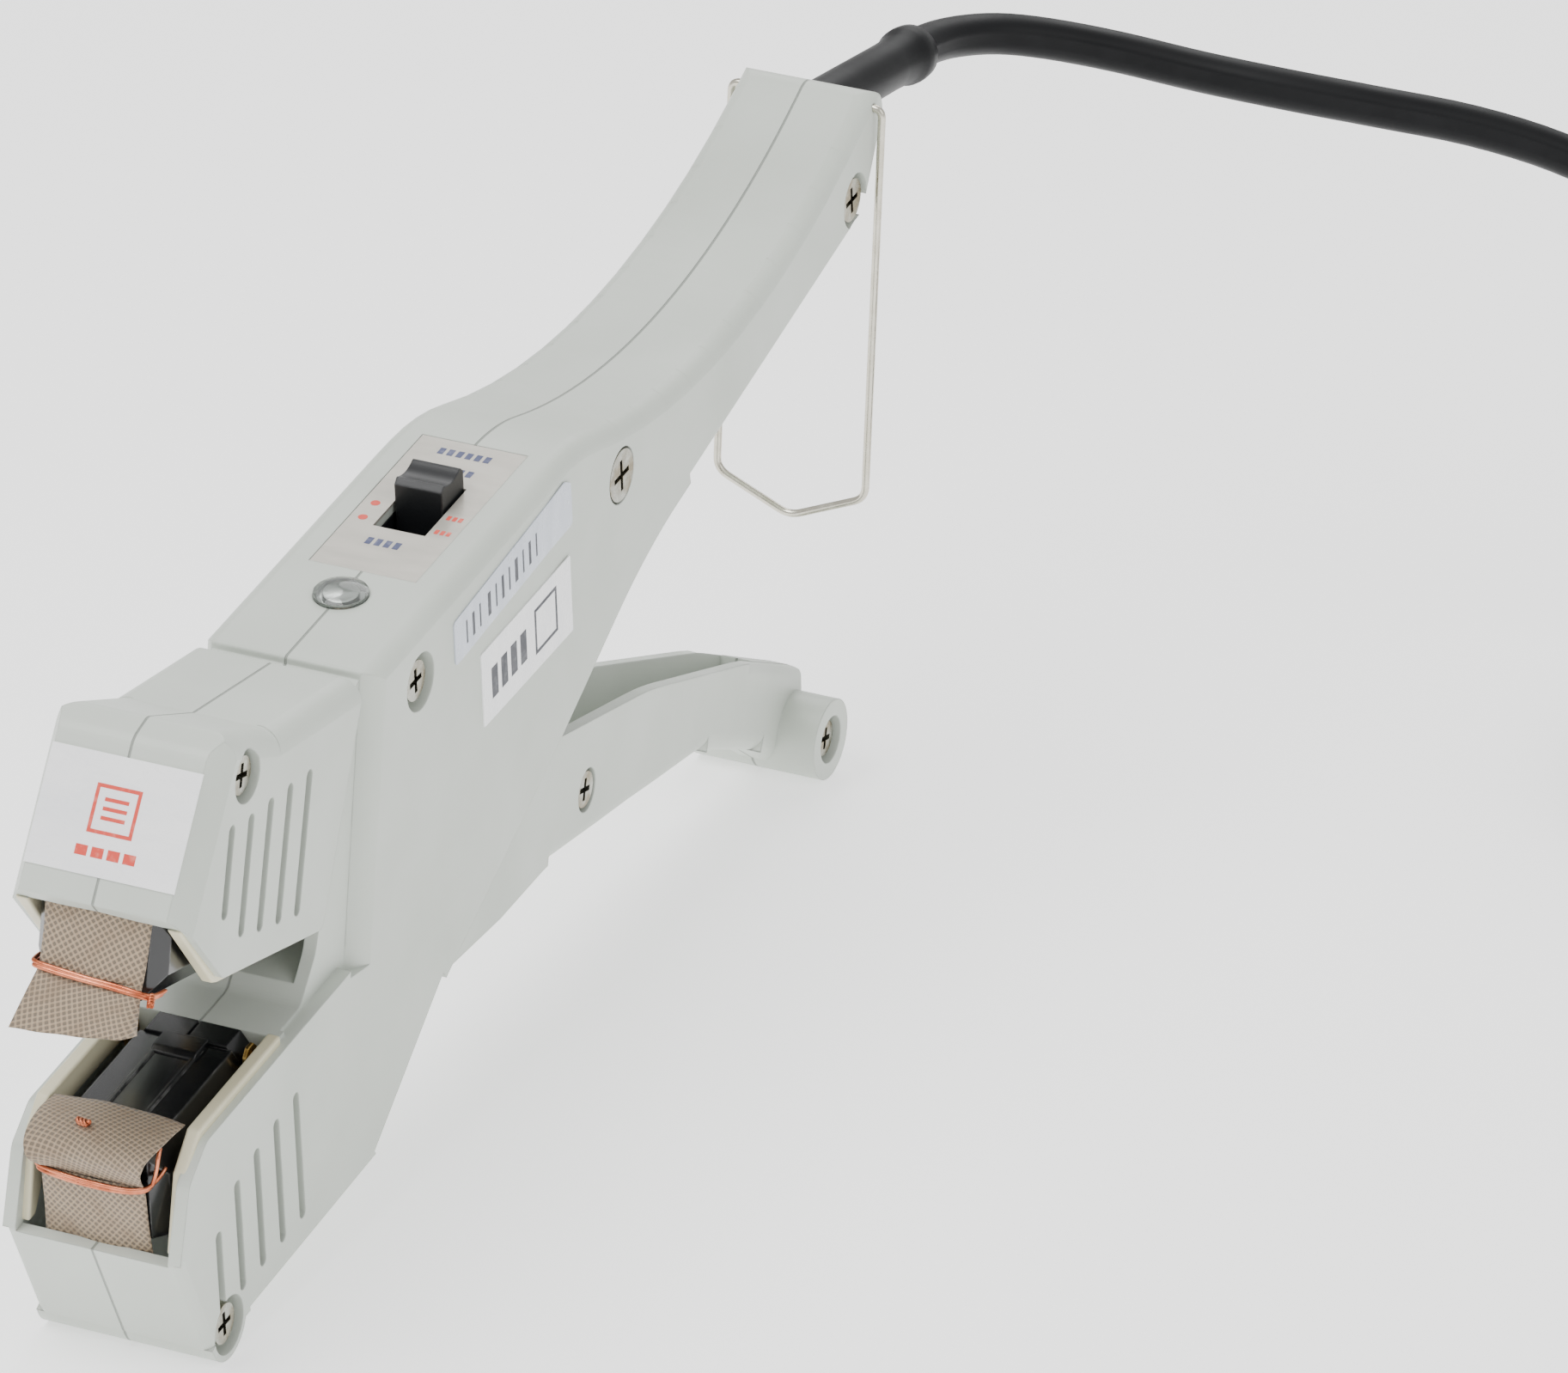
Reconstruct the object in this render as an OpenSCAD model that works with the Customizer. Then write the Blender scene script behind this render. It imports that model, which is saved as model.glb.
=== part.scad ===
// Hand-held plier-type heat sealer: two heated jaws, a squeeze lever, a slide switch and a mains cord.
// Tool frame: X across the tool, +Y toward the cord end, +Z out of the switch deck.
// The arm is drawn with the jaws closed and is swung open about the pivot.
// The finished tool leans until its foot and the end of its lever both stand on Z = 0.

/* [Body] */
// Width across the jaws and the body
body_w = 36; // [36:0.5:38]
// Width across the end of the handle
handle_end_w = 29; // [28:0.5:30]
// Wall thickness of the moulded shells
wall = 2.6; // [2.4:0.1:2.7]
// Height of the switch deck above the bottom of the foot
deck_z = 105; // [104.5:0.1:105.5]

/* [Jaws] */
// Angle by which the jaws stand open at rest
open_deg = 18; // [16:0.5:18]
// Distance of the pivot behind the front of the foot
pivot_y = 94.8; // [94.5:0.1:95]
// Height of the pivot above the bottom of the foot
pivot_z = 93; // [92.8:0.1:93.2]
// Width of each heater bar
bar_w = 26; // [25:0.5:26]
// Height of the lower sealing face
seal_z = 50.8; // [50.4:0.1:51]
// Width of the woven release cloth
cloth_w = 21.5; // [19:0.5:22]

/* [Switch and lamp] */
// Length of the switch plate
plate_l = 49; // [46:1:50]
// Width of the switch plate
plate_w = 22; // [20:0.5:23]
// Travel of the slide switch, from off to high
switch_travel = 8; // [6:0.5:8]
// Diameter of the pilot lamp lens
lamp_d = 10.4; // [9:0.2:11]

/* [Latch wire] */
// Diameter of the latch wire
wire_d = 1.6; // [1.4:0.1:1.8]
// Length of the legs of the latch wire
latch_l = 84; // [83:0.5:86]
// How far the middle of the wire hangs below its corners
latch_drop = 7; // [4:0.5:8]

/* [Cord] */
// Diameter of the mains cord
cord_d = 8.6; // [8.2:0.1:8.8]
// Radius of the coiled cord at the middle of its turns
coil_r = 43; // [43:0.5:44]

/* [Hidden] */
$fn = 48;

shell_color = [0.78, 0.80, 0.77];
half_w = body_w / 2;
inner_w = half_w - wall;
taper_y = 150;
handle_l = 316 - taper_y;
taper = atan((half_w - handle_end_w / 2) / handle_l);
pivot = [pivot_y, pivot_z];

// Screw centres, as [y, z]
foot_screw = [5.5, 7];
waist_screw = [184.5, 87];
tail_screw = [301, 85];
hood_screw = [22.5, 91];
lever_screw = [192, 49];
boss = [313.3, 32.6];
foot_r = 7;
boss_r = 8.5;
recess_d = 11.5;
recess_depth = 3.2;
shank_d = 3.9;
clear_d = 4.3;

// Lean of the whole tool: the line that touches the foot and the boss of the open lever
boss_open = swing(boss, -open_deg);
boss_gap = boss_open - foot_screw;
lean = atan2(-boss_gap[1], boss_gap[0]) + asin((boss_r - foot_r) / norm(boss_gap));

// ---- outline helpers ----

function unit(v) = v / norm(v);
function turn(v, a) = [v[0] * cos(a) - v[1] * sin(a), v[0] * sin(a) + v[1] * cos(a)];
function swing(p, a) = pivot + turn(p - pivot, a);
function cross2(a, b) = a[0] * b[1] - a[1] * b[0];
function flat(p) = [p[0], p[1]];

// Largest gap between a rounded corner and its true arc
arc_error = 0.02;

// One rounded corner at b between a and c
function corner(a, b, c, r) =
    let (u = unit(a - b), w = unit(c - b), half = acos(u * w) / 2)
    let (centre = b + unit(u + w) * (r / sin(half)), start = b + u * (r / tan(half)) - centre)
    let (sweep = (180 - 2 * half) * (cross2(w, u) > 0 ? 1 : -1))
    let (step = min(12, 2 * acos(1 - arc_error / r)), n = max(2, ceil(abs(sweep) / step)))
    [for (i = [0:n]) centre + turn(start, sweep * i / n)];

// Outline points before, at and after place i
function before(pts, i) = flat(pts[(i + len(pts) - 1) % len(pts)]);
function after(pts, i) = flat(pts[(i + 1) % len(pts)]);

// Outline from points [y, z, corner radius]
function rounded(pts) =
    [for (i = [0:len(pts) - 1])
        let (a = before(pts, i), b = flat(pts[i]), c = after(pts, i))
        each (pts[i][2] > 0 ? corner(a, b, c, pts[i][2]) : [b])];

// The same outline moved inward by d; corners run counter-clockwise
function inset(pts, d) =
    [for (i = [0:len(pts) - 1])
        let (a = before(pts, i), b = flat(pts[i]), c = after(pts, i))
        let (n1 = turn(unit(b - a), 90), n2 = turn(unit(c - b), 90), p = b + (n1 + n2) * d / (1 + n1 * n2))
        [p[0], p[1], cross2(b - a, c - b) > 0 ? max(0, pts[i][2] - d) : pts[i][2] + d]];

// ---- solid helpers ----

// Extrudes an outline in Y and Z from x0 to x1
module slab(x0, x1) {
    translate([x0, 0, 0]) rotate([90, 0, 90]) linear_extrude(x1 - x0) children();
}

module rod(p, d, x0, x1) {
    translate([x0, p[0], p[1]]) rotate([0, 90, 0]) cylinder(d = d, h = x1 - x0);
}

// A rounding cutter is this much larger than its tangent circle, so that it crosses the faces it meets
crossing = 0.12;

// Removes the sharp edge at x = w along the outline edge from p to q
module edge_cut(p, q, w, r, lift = crossing) {
    run = q - p;
    translate([0, p[0], p[1]]) rotate([atan2(run[1], run[0]), 0, 0]) difference() {
        translate([w - r, 0, -2]) cube([r + 2, norm(run), r + 2]);
        translate([w - r, -1, r]) rotate([-90, 0, 0]) cylinder(r = r + lift, h = norm(run) + 2);
    }
}

// Removes the sharp edge at x = w along an arc in n short runs
// Angles a0 and a1 are measured from +Z toward +Y
module arc_cut(centre, radius, a0, a1, n, w, r) {
    past = 0.5;
    for (i = [0:n - 1]) {
        p = centre + radius * [sin(a0 + (a1 - a0) * i / n), cos(a0 + (a1 - a0) * i / n)];
        q = centre + radius * [sin(a0 + (a1 - a0) * (i + 1) / n), cos(a0 + (a1 - a0) * (i + 1) / n)];
        edge_cut(q + past * unit(q - p), p - past * unit(q - p), w, r);
    }
}

// Leans a side inward behind y; x is the outside there
module taper_in(x, y, angle) {
    translate([x, y, 0]) rotate([0, 0, angle]) translate([-x, -y, 0]) children();
}

// Everything outside a side that stands at x
module beyond(x) {
    translate([x, -80, -80]) cube([60, 500, 300]);
}

// Stands a body part on the table, with the origin under the middle of the tool
module stand() {
    translate([0, -middle_y, foot_r - turn(foot_screw, lean)[1]]) rotate([lean, 0, 0]) children();
}

// Stands an arm part on the table with the jaws open
module stand_arm() {
    stand() translate([0, pivot_y, pivot_z]) rotate([-open_deg, 0, 0])
        translate([0, -pivot_y, -pivot_z]) children();
}

module both_sides() {
    children();
    mirror([1, 0, 0]) children();
}

// Five upright vent slots through one side wall
module vents(y0, pitch, lows, tops, slot_w) {
    for (i = [0:4]) slab(inner_w - 1, half_w + 1) {
        translate([y0 + i * pitch - slot_w / 2, lows[i]]) square([slot_w, tops[i] - lows[i]]);
        for (z = [lows[i], tops[i]]) translate([y0 + i * pitch, z]) circle(d = slot_w, $fn = 24);
    }
}

// ---- body shells ----

shoulder_r = 53;
waist_r = 180;
shoulder_deg = 21;
shoulder_y = 156;
shoulder_c = [shoulder_y, deck_z - shoulder_r];
waist_c = shoulder_c + (shoulder_r + waist_r) * [sin(shoulder_deg), cos(shoulder_deg)];
shoulder_pt = [shoulder_y + shoulder_r * tan(shoulder_deg / 2), deck_z];
crest_end = shoulder_c + shoulder_r * [sin(shoulder_deg), cos(shoulder_deg)];
waist_half = 21.5;
waist_dir = [cos(shoulder_deg), -sin(shoulder_deg)];
waist_pt = crest_end + waist_r * tan(waist_half) * waist_dir;
tail_dir = turn(waist_dir, 2 * waist_half);
waist_out = waist_pt + waist_r * tan(waist_half) * tail_dir;
tail_top = waist_out + 7.5 * tail_dir;
tray_front = [-11.5, 30.5];
under_start = [195, 64.3];
tail_low = [303, 78.5];
tail_back = [316.5, 98];
rim_z = 50;

body_pts = [
    [12, 4.6, 0], [67.4, 4.7, 4], [99.2, 25, 30], [under_start[0], under_start[1], 120],
    [tail_low[0], tail_low[1], 6], [tail_back[0], tail_back[1], 5], [tail_top[0], tail_top[1], 5],
    [waist_pt[0], waist_pt[1], waist_r], [shoulder_pt[0], shoulder_pt[1], shoulder_r],
    [76.5, deck_z, 0.8], [64, rim_z, 3], [1.5, rim_z, 4], [-6, 45, 3],
    [tray_front[0], tray_front[1], 0.8], [-1.6, 5.6, 0], [3, 3, 0]
];
neck_pts = [
    [35, 40, 0], [80, 40, 0], [86, deck_z - 0.6, 0], [77.5, deck_z - 0.6, 0],
    [72, 101, 2], [53, 58, 8], [46, 50.8, 3], [35, 50.8, 0]
];
neck_w = inner_w - 0.4;
deck_round = 4.5;
neck_inner = neck_w - wall;
cavity_pts = inset(body_pts, wall);

// Rounds the long outer edges of the straight front part
module front_edges() {
    edge_cut([taper_y + 3, deck_z], [70, deck_z], half_w, deck_round);
    edge_cut([67.4, 4.7], [99.2, 25], half_w, 3);
    edge_cut([14, 4.6], [67.4, 4.7], half_w, 1.6);
    edge_cut(tray_front, [-1.6, 5.6], half_w, 2.6);
}

// Rounds the long outer edges of the tapered handle
module handle_edges() {
    edge_cut([shoulder_y + 0.8, deck_z], [taper_y - 4, deck_z], half_w, deck_round);
    arc_cut(shoulder_c, shoulder_r, 0, shoulder_deg, 4, half_w, deck_round);
    waist_deg = shoulder_deg + 180;
    arc_cut(waist_c, waist_r, waist_deg, waist_deg - 2 * waist_half, 12, half_w, deck_round);
    edge_cut(tail_top + tail_dir * 4, waist_out, half_w, deck_round);
    under_run = tail_low - under_start;
    edge_cut(under_start + under_run * 0.2, tail_low + unit(under_run) * 4, half_w, 3.5);
}

// Fades the full width into the narrow neck that the hood slides over
module neck_fade() {
    fade_r = 9;
    lean_back = atan2(76.5 - 64, deck_z - rim_z);
    back = sqrt(pow(fade_r, 2) - pow(fade_r - half_w + neck_w, 2));
    translate([0, 64, rim_z]) rotate([-lean_back, 0, 0]) difference() {
        translate([neck_w - 0.3, -3, -2]) cube([half_w, back + 3, 70]);
        translate([half_w - fade_r + crossing, back, -3]) cylinder(r = fade_r, h = 72, $fn = 96);
    }
}

module body_outer_half() {
    union() {
        difference() {
            union() {
                slab(0, half_w) polygon(rounded(body_pts));
                rod(foot_screw, 2 * foot_r, 0, half_w);
            }
            front_edges();
            neck_fade();
            taper_in(half_w, taper_y, taper) {
                beyond(half_w);
                handle_edges();
            }
        }
        slab(0, neck_w) polygon(rounded(neck_pts));
    }
}

module body_cavity_half() {
    difference() {
        slab(-1, inner_w) polygon(rounded(cavity_pts));
        taper_in(half_w, taper_y, taper) beyond(inner_w);
        slab(neck_inner, 30) polygon([[40, 44], [71, 44], [85, 110], [40, 110]]);
    }
    // Way through the neck for the arm
    slab(-1, neck_inner) polygon([[44, 53.5], [60, 53.5], [80, 53.5], [86, 100.5], [66, 100.5]]);
    // Open top of the heater tray
    slab(-1, inner_w)
        polygon([[-8.7, 30], [-4, 34], [0, 42], [4, 45], [35, 45], [35, 56], [-30, 56], [-30, 30]]);
    // Slot below the handle for the lever
    slab(-1, inner_w) polygon([[100.5, 18], [101.5, 34], [160, 62], [201, 72], [201, 54], [160, 30]]);
}

module body_half(screw_side) {
    difference() {
        union() {
            difference() {
                body_outer_half();
                body_cavity_half();
            }
            // Back wall of the tray and the floor behind it
            slab(0, inner_w + 0.5) translate([35, 6]) square([2.4, 44.8]);
            slab(0, neck_w) translate([35, 48.4]) square([12, 2.4]);
            // Inner lip that stands proud of the rim
            slab(inner_w - 1.4, inner_w + 0.3)
                polygon([[-8.6, 31], [-4.4, 45.8], [2, 51.4], [35, 51.4], [35, 46], [4, 46], [-6.4, 31]]);
            rod(foot_screw, 12.6, 0, inner_w + 0.5);
            rod(waist_screw, 13, 0, inner_w + 0.3);
            rod(tail_screw, 13, 0, inner_w - 3.2);
            rod(pivot, 13, neck_inner + 0.1, inner_w + 0.5);
        }
        vents(3.6, 8.2, [12, 12, 12, 12, 12], [27.5, 33.5, 35.3, 36.5, 37.2], 2.4);
        for (p = [foot_screw, waist_screw, tail_screw, pivot]) {
            rod(p, screw_side ? clear_d : shank_d, -1, screw_side ? 30 : half_w - 3);
        }
        if (screw_side) {
            for (p = [foot_screw, pivot]) rod(p, recess_d, half_w - recess_depth, 30);
            rod(waist_screw, recess_d, half_w - 2.6, 30);
            rod(tail_screw, recess_d, handle_end_w / 2 - 2.2, 30);
        }
        switch_cuts();
        latch_holes();
        cord_hole();
    }
}

module body_right() {
    color(shell_color) stand() body_half(true);
}

module body_left() {
    color(shell_color) stand() mirror([1, 0, 0]) body_half(false);
}

// ---- fasteners ----

// Pan-head screw with a cross recess; its head sits on x and its shank runs toward -X
module screw(p, x, head_d, head_h, length) {
    difference() {
        union() {
            rod(p, head_d, x, x + head_h);
            rod(p, shank_d, x - length, x + 0.1);
        }
        for (a = [0, 90]) translate([x + head_h - 1.1, p[0], p[1]]) rotate([a, 0, 0])
            cube([4, head_d * 0.62, 1.1], center = true);
    }
}

module body_screws() {
    color("silver") stand() {
        screw(foot_screw, half_w - recess_depth, 8, 2.2, 29.5);
        screw(waist_screw, half_w - 2.6, 10.6, 1.9, 30);
        screw(tail_screw, handle_end_w / 2 - 2.2, 9, 1.8, 24);
    }
}

module pivot_screw() {
    color("silver") stand() screw(pivot, half_w - recess_depth, 8, 2.2, 29.5);
}

sleeve_d = 8;

module pivot_sleeve() {
    color("gainsboro") stand() difference() {
        rod(pivot, sleeve_d, -neck_inner - 0.1, neck_inner + 0.1);
        rod(pivot, 4.1, -20, 20);
    }
}

// Close-wound torsion spring around the sleeve, with one leg on the body and one on the arm
module return_spring() {
    spring_wire = 1.6;
    mean_r = 6;
    turns = 7;
    color("lightsteelblue") stand() {
        for (i = [0:turns - 1]) translate([(i - (turns - 1) / 2) * spring_wire * 0.9, pivot_y, pivot_z])
            rotate([0, 90, 0]) rotate_extrude($fn = 40)
                translate([mean_r, 0]) circle(d = spring_wire, $fn = 16);
        translate([4.7, pivot_y, pivot_z + mean_r]) rotate([-88, 0, 0])
            cylinder(d = spring_wire, h = 20, $fn = 16);
        translate([-4.7, pivot_y - mean_r * 0.5, pivot_z - mean_r * 0.86]) rotate([-150, 0, 0])
            cylinder(d = spring_wire, h = 31, $fn = 16);
    }
}

// ---- lower jaw ----

// Heater bar section across X, with chamfered edges beside the sealing face; sealing face at z = 0
module bar_section(depth) {
    face = bar_w / 2 - 3.6;
    side = bar_w / 2;
    polygon([[-side, -depth], [side, -depth], [side, -5], [face, 0], [-face, 0], [-side, -5]]);
}

heater_z = -13;

module bar(y0, y1, depth) {
    difference() {
        translate([0, y1, 0]) rotate([90, 0, 0]) linear_extrude(y1 - y0) bar_section(depth);
        for (s = [-1, 1]) translate([s * bar_w / 2, y0, -depth - 1]) rotate([0, 0, 45])
            cube([4, 4, 2 * depth + 4], center = true);
        translate([0, y0 + 4, heater_z]) rotate([-90, 0, 0]) cylinder(d = 6.2, h = y1 - y0);
    }
}

// Two fine ridges along the face of a bar
module ridges(y0, y1) {
    for (x = [-4, 4]) translate([x - 0.4, y0 + 9, -0.2]) cube([0.8, y1 - y0 - 11, 0.6]);
}

module heater_rod(y0, length) {
    translate([0, y0, heater_z]) rotate([-90, 0, 0]) cylinder(d = 6.1, h = length);
}

// Rear block that carries the terminals
module insulator(y0, y1, depth) {
    translate([0, y1, 0]) rotate([90, 0, 0]) linear_extrude(y1 - y0) difference() {
        polygon([
            [-11.5, -depth], [11.5, -depth], [11.5, -4.5], [8.2, 0], [0.3, 0], [0.3, -0.6],
            [-0.3, -0.6], [-0.3, 0], [-8.2, 0], [-11.5, -4.5]
        ]);
        translate([0, heater_z]) circle(d = 8.4);
    }
}

module terminals(y, z) {
    both_sides() translate([0, y, z]) {
        translate([11.55, 0, 0]) rotate([0, 90, 0]) cylinder(d = 4.4, h = 1.4);
        translate([11.55, -0.6, -6]) cube([0.8, 1.2, 6]);
        translate([12.3, 0, 0]) rotate([0, 90, 0]) cylinder(d = 2.4, h = 1);
    }
}

lower_y0 = -7;
lower_y1 = 29;
bar_depth = 18;

module lower_bar() {
    color([0.07, 0.07, 0.08]) stand() translate([0, 0, seal_z - 0.6]) {
        bar(lower_y0, lower_y1, bar_depth);
        ridges(lower_y0, lower_y1);
    }
}

module lower_heater() {
    color("gainsboro") stand() translate([0, 0, seal_z - 0.6]) heater_rod(lower_y0 + 4, lower_y1 - lower_y0);
}

module lower_insulator() {
    color([0.09, 0.09, 0.1]) stand() translate([0, 0, seal_z]) insulator(lower_y1 + 0.05, 34.9, 20);
}

module lower_terminals() {
    color("gold") stand() terminals(32, seal_z - 6);
}

// Release cloth: a strip up the front of the bar and a short flap over the sealing face
module lower_cloth() {
    color([0.68, 0.58, 0.47]) stand() slab(-cloth_w / 2, cloth_w / 2)
        polygon([[-8.6, 33], [-7.6, 33], [-7.6, 51.6], [3, 51.9], [3, 52.9], [-8.6, 52.6]]);
}

// Copper wire that ties the cloth to the bar, with a round end on each side
module tie(w) {
    wire = 1;
    rotate([0, 90, 0]) cylinder(d = wire, h = w, center = true, $fn = 16);
    both_sides() translate([w / 2, 0, 0]) sphere(d = wire, $fn = 16);
}

module lower_tie() {
    color([0.78, 0.45, 0.32]) stand() translate([0, -9.3, 44.5]) tie(cloth_w + 1.6);
}

// ---- switch and lamp ----

plate_y = 108.5;
knob_y = 137.5;
knob_l = 9.2;
lamp_y = 99.6;
bulb_d = 3.6;
slot_front = knob_y - knob_l / 2 - switch_travel - 0.9;
slot_back = knob_y + knob_l / 2 + 0.4;

module switch_cuts() {
    translate([-plate_w / 2, plate_y, deck_z - 0.7]) cube([plate_w, plate_l, 10]);
    translate([-5.6, slot_front, deck_z - 10]) cube([11.2, slot_back - slot_front, 20]);
    translate([0, lamp_y, deck_z - 10]) cylinder(d = lamp_d - 2, h = 20);
    translate([0, lamp_y, deck_z - 0.8]) cylinder(d = lamp_d + 0.2, h = 5);
}

module switch_plate() {
    color([0.8, 0.79, 0.74]) stand() difference() {
        translate([-plate_w / 2 + 0.1, plate_y + 0.1, deck_z - 0.7])
            cube([plate_w - 0.2, plate_l - 0.2, 0.6]);
        translate([-5.4, slot_front + 0.2, deck_z - 2]) cube([10.8, slot_back - slot_front - 0.4, 4]);
    }
}

module switch_body() {
    color([0.08, 0.08, 0.09]) stand() difference() {
        translate([-8, slot_front - 4, deck_z - wall - 18]) cube([16, slot_back - slot_front + 8, 17.8]);
        translate([-5.6, slot_front, deck_z - wall - 6]) cube([11.2, slot_back - slot_front, 8]);
    }
}

module switch_knob() {
    color([0.06, 0.06, 0.07]) stand() difference() {
        translate([-4.9, knob_y - knob_l / 2, deck_z - 7]) cube([9.8, knob_l, 12]);
        for (s = [-1, 1]) translate([0, knob_y + s * knob_l / 2, deck_z + 5.2]) rotate([45, 0, 0])
            cube([12, 1.6, 1.6], center = true);
        translate([0, knob_y, deck_z + 11.2]) rotate([0, 90, 0])
            cylinder(r = 7, h = 12, center = true, $fn = 64);
    }
}

module lamp_lens() {
    color([0.85, 0.87, 0.85]) stand() difference() {
        union() {
            translate([0, lamp_y, deck_z - 0.8]) cylinder(d = lamp_d, h = 1.6);
            translate([0, lamp_y, deck_z - 4]) cylinder(d = lamp_d - 2.2, h = 4);
            intersection() {
                translate([0, lamp_y, deck_z - 8]) sphere(r = 10.2, $fn = 64);
                translate([0, lamp_y, deck_z + 0.7]) cylinder(d = lamp_d, h = 4);
            }
        }
        translate([0, lamp_y, deck_z - 5]) cylinder(d = lamp_d - 4.4, h = 4.6);
    }
}

module lamp_bulb() {
    color([0.9, 0.5, 0.3]) stand() {
        translate([0, lamp_y, deck_z - 5.4]) cylinder(d = bulb_d, h = 3.2);
        translate([0, lamp_y, deck_z - 2.2]) sphere(d = bulb_d);
    }
}

module control_board() {
    color([0.25, 0.42, 0.25]) stand() difference() {
        union() {
            translate([-9, 208, 77]) cube([18, 46, 1.6]);
            for (y = [214, 226, 240]) translate([-6, y, 78.5]) cube([12, 6, 4]);
        }
        for (x = [-6.5, 6.5]) translate([x, 211, 70]) cylinder(d = 2.4, h = 12);
    }
}

// ---- labels ----

label_t = 0.25;

module side_label() {
    color([0.85, 0.87, 0.91]) stand() slab(half_w, half_w + label_t) polygon(rounded([
        [109, 88, 1], [150, 89.8, 0], [160.5, 90, 1], [160.5, 99, 1], [158, 100.5, 1], [109, 97.4, 1]
    ]));
}

module rating_label() {
    color([0.95, 0.95, 0.95]) stand() slab(half_w, half_w + label_t)
        polygon(rounded([[119.5, 68.5, 0.4], [158.8, 67.4, 0.4], [158.8, 84, 0.4], [119.5, 84.4, 0.4]]));
}

// ---- latch wire ----

latch_pivot = [311.7, 100.5];
latch_lean = 9;
latch_x = handle_end_w / 2 + 1.9;

module latch_holes() {
    rod(latch_pivot, wire_d + 0.1, 10, 30);
}

// A bail of wire: hooked ends in the handle, two legs and a shallow V between them
module latch_wire() {
    hook_in = 4.5;
    v_len = norm([latch_x, latch_drop]);
    knuckle_d = wire_d + 0.1;
    at = [0, latch_pivot[0], latch_pivot[1]];
    color([0.85, 0.83, 0.78]) stand() translate(at) rotate([-latch_lean, 0, 0]) {
        translate([0, 0, -latch_l - latch_drop]) sphere(d = knuckle_d);
        both_sides() {
            translate([latch_x - hook_in, 0, 0]) rotate([0, 90, 0]) cylinder(d = wire_d, h = hook_in);
            translate([latch_x, 0, 0]) sphere(d = knuckle_d);
            translate([latch_x, 0, -latch_l]) cylinder(d = wire_d, h = latch_l);
            translate([latch_x, 0, -latch_l]) sphere(d = knuckle_d);
            translate([0, 0, -latch_l - latch_drop]) rotate([0, atan2(latch_x, latch_drop), 0])
                cylinder(d = wire_d, h = v_len);
        }
    }
}

// ---- cord ----

// Centre of the cord where it enters the handle and how far the guard points down, in the tool frame
exit_c = [312, 96.5];
exit_drop = 14;
guard_l = 54;
guard_d = 10.6;
guard_rim_d = 12.2;
guard_dir = [cos(exit_drop), -sin(exit_drop)];
guard_tip = exit_c + guard_l * guard_dir;
cloth_tip = [-2, 45.2];

// Middle of the standing tool between the tip of the upper cloth and the tip of the guard
front_y = turn(swing(cloth_tip, -open_deg), lean)[0];
rear_y = turn(guard_tip + turn(guard_dir, 90) * guard_rim_d / 2, lean)[0];
middle_y = (front_y + rear_y) / 2;

module along_guard() {
    translate([0, exit_c[0], exit_c[1]]) rotate([-90 - exit_drop, 0, 0]) children();
}

module cord_hole() {
    along_guard() translate([0, 0, -3]) cylinder(d = guard_d + 0.1, h = 30);
}

module cord_guard() {
    rim_h = 4;
    color([0.1, 0.1, 0.11]) stand() along_guard() {
        translate([0, 0, -2.6]) cylinder(d = guard_d, h = guard_l + 2.6 - rim_h);
        translate([0, 0, guard_l - rim_h - 0.1]) cylinder(d = guard_rim_d, h = rim_h + 0.1);
    }
}

// Free stretch of the cord, from inside the tip of the guard to the top of the coil
cord_route = [
    [0, 183, 134.5], [0.5, 192, 133.8], [3, 201, 132.8], [8.5, 210, 131.4], [17, 217, 129.5], [30, 223, 127],
    [47, 228, 124], [65, 232, 122], [82, 238, 119.5], [100, 246, 116], [117, 252.5, 111], [133, 257, 104],
    [147, 260, 94], [158, 261.5, 81], [166, 262, 66], [173.5, 262, 50], [183, 260.5, 36], [197, 256, 26],
    [212, 248.5, 21]
];

// Tail of the cord, from the outside of the coil to the plug
tail_route = [
    [235.4, 241.3, 4.3], [244.3, 233.7, 4.3], [250.5, 225.1, 4.3], [255.2, 216.5, 4.3], [257.5, 206, 4.3],
    [257.5, 196, 5], [257.5, 187, 7.4], [257.5, 178, 10.4], [257.5, 169, 12.8], [257.5, 161, 13.5]
];

// Swept round tube along a route
module tube(route, d) {
    sides = 10;
    last = len(route) - 1;
    rings = [for (i = [0:last])
        let (t = unit(route[min(i + 1, last)] - route[max(i - 1, 0)]))
        let (u = unit(cross(t, [0, 0, 1])), v = cross(u, t))
        for (k = [0:sides - 1]) route[i] + d / 2 * (cos(360 * k / sides) * u + sin(360 * k / sides) * v)];
    walls = [for (i = [0:last - 1], k = [0:sides - 1])
        let (a = i * sides + k, b = i * sides + (k + 1) % sides)
        [a, b, b + sides, a + sides]];
    first_cap = [for (k = [0:sides - 1]) sides - 1 - k];
    last_cap = [for (k = [0:sides - 1]) last * sides + k];
    polyhedron(points = rings, faces = concat(walls, [first_cap, last_cap]));
}

module cord() {
    color([0.09, 0.09, 0.1]) {
        tube(cord_route, cord_d);
        tube(tail_route, cord_d);
    }
}

coil_c = [201, 206];
coil_h = 2 * cord_d + cord_d * sqrt(3) / 2;

// Two turns side by side, two on them and one in the groove on top
module cord_coil() {
    color([0.1, 0.1, 0.11]) translate([coil_c[0], coil_c[1], 0]) rotate_extrude($fn = 96)
        polygon([
            [coil_r - cord_d, 1], [coil_r - cord_d + 1, 0], [coil_r + cord_d - 1, 0],
            [coil_r + cord_d, 1], [coil_r + cord_d, 2 * cord_d - 3], [coil_r + 2.5, coil_h],
            [coil_r - 2.5, coil_h], [coil_r - cord_d, 2 * cord_d - 3]
        ]);
}

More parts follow.
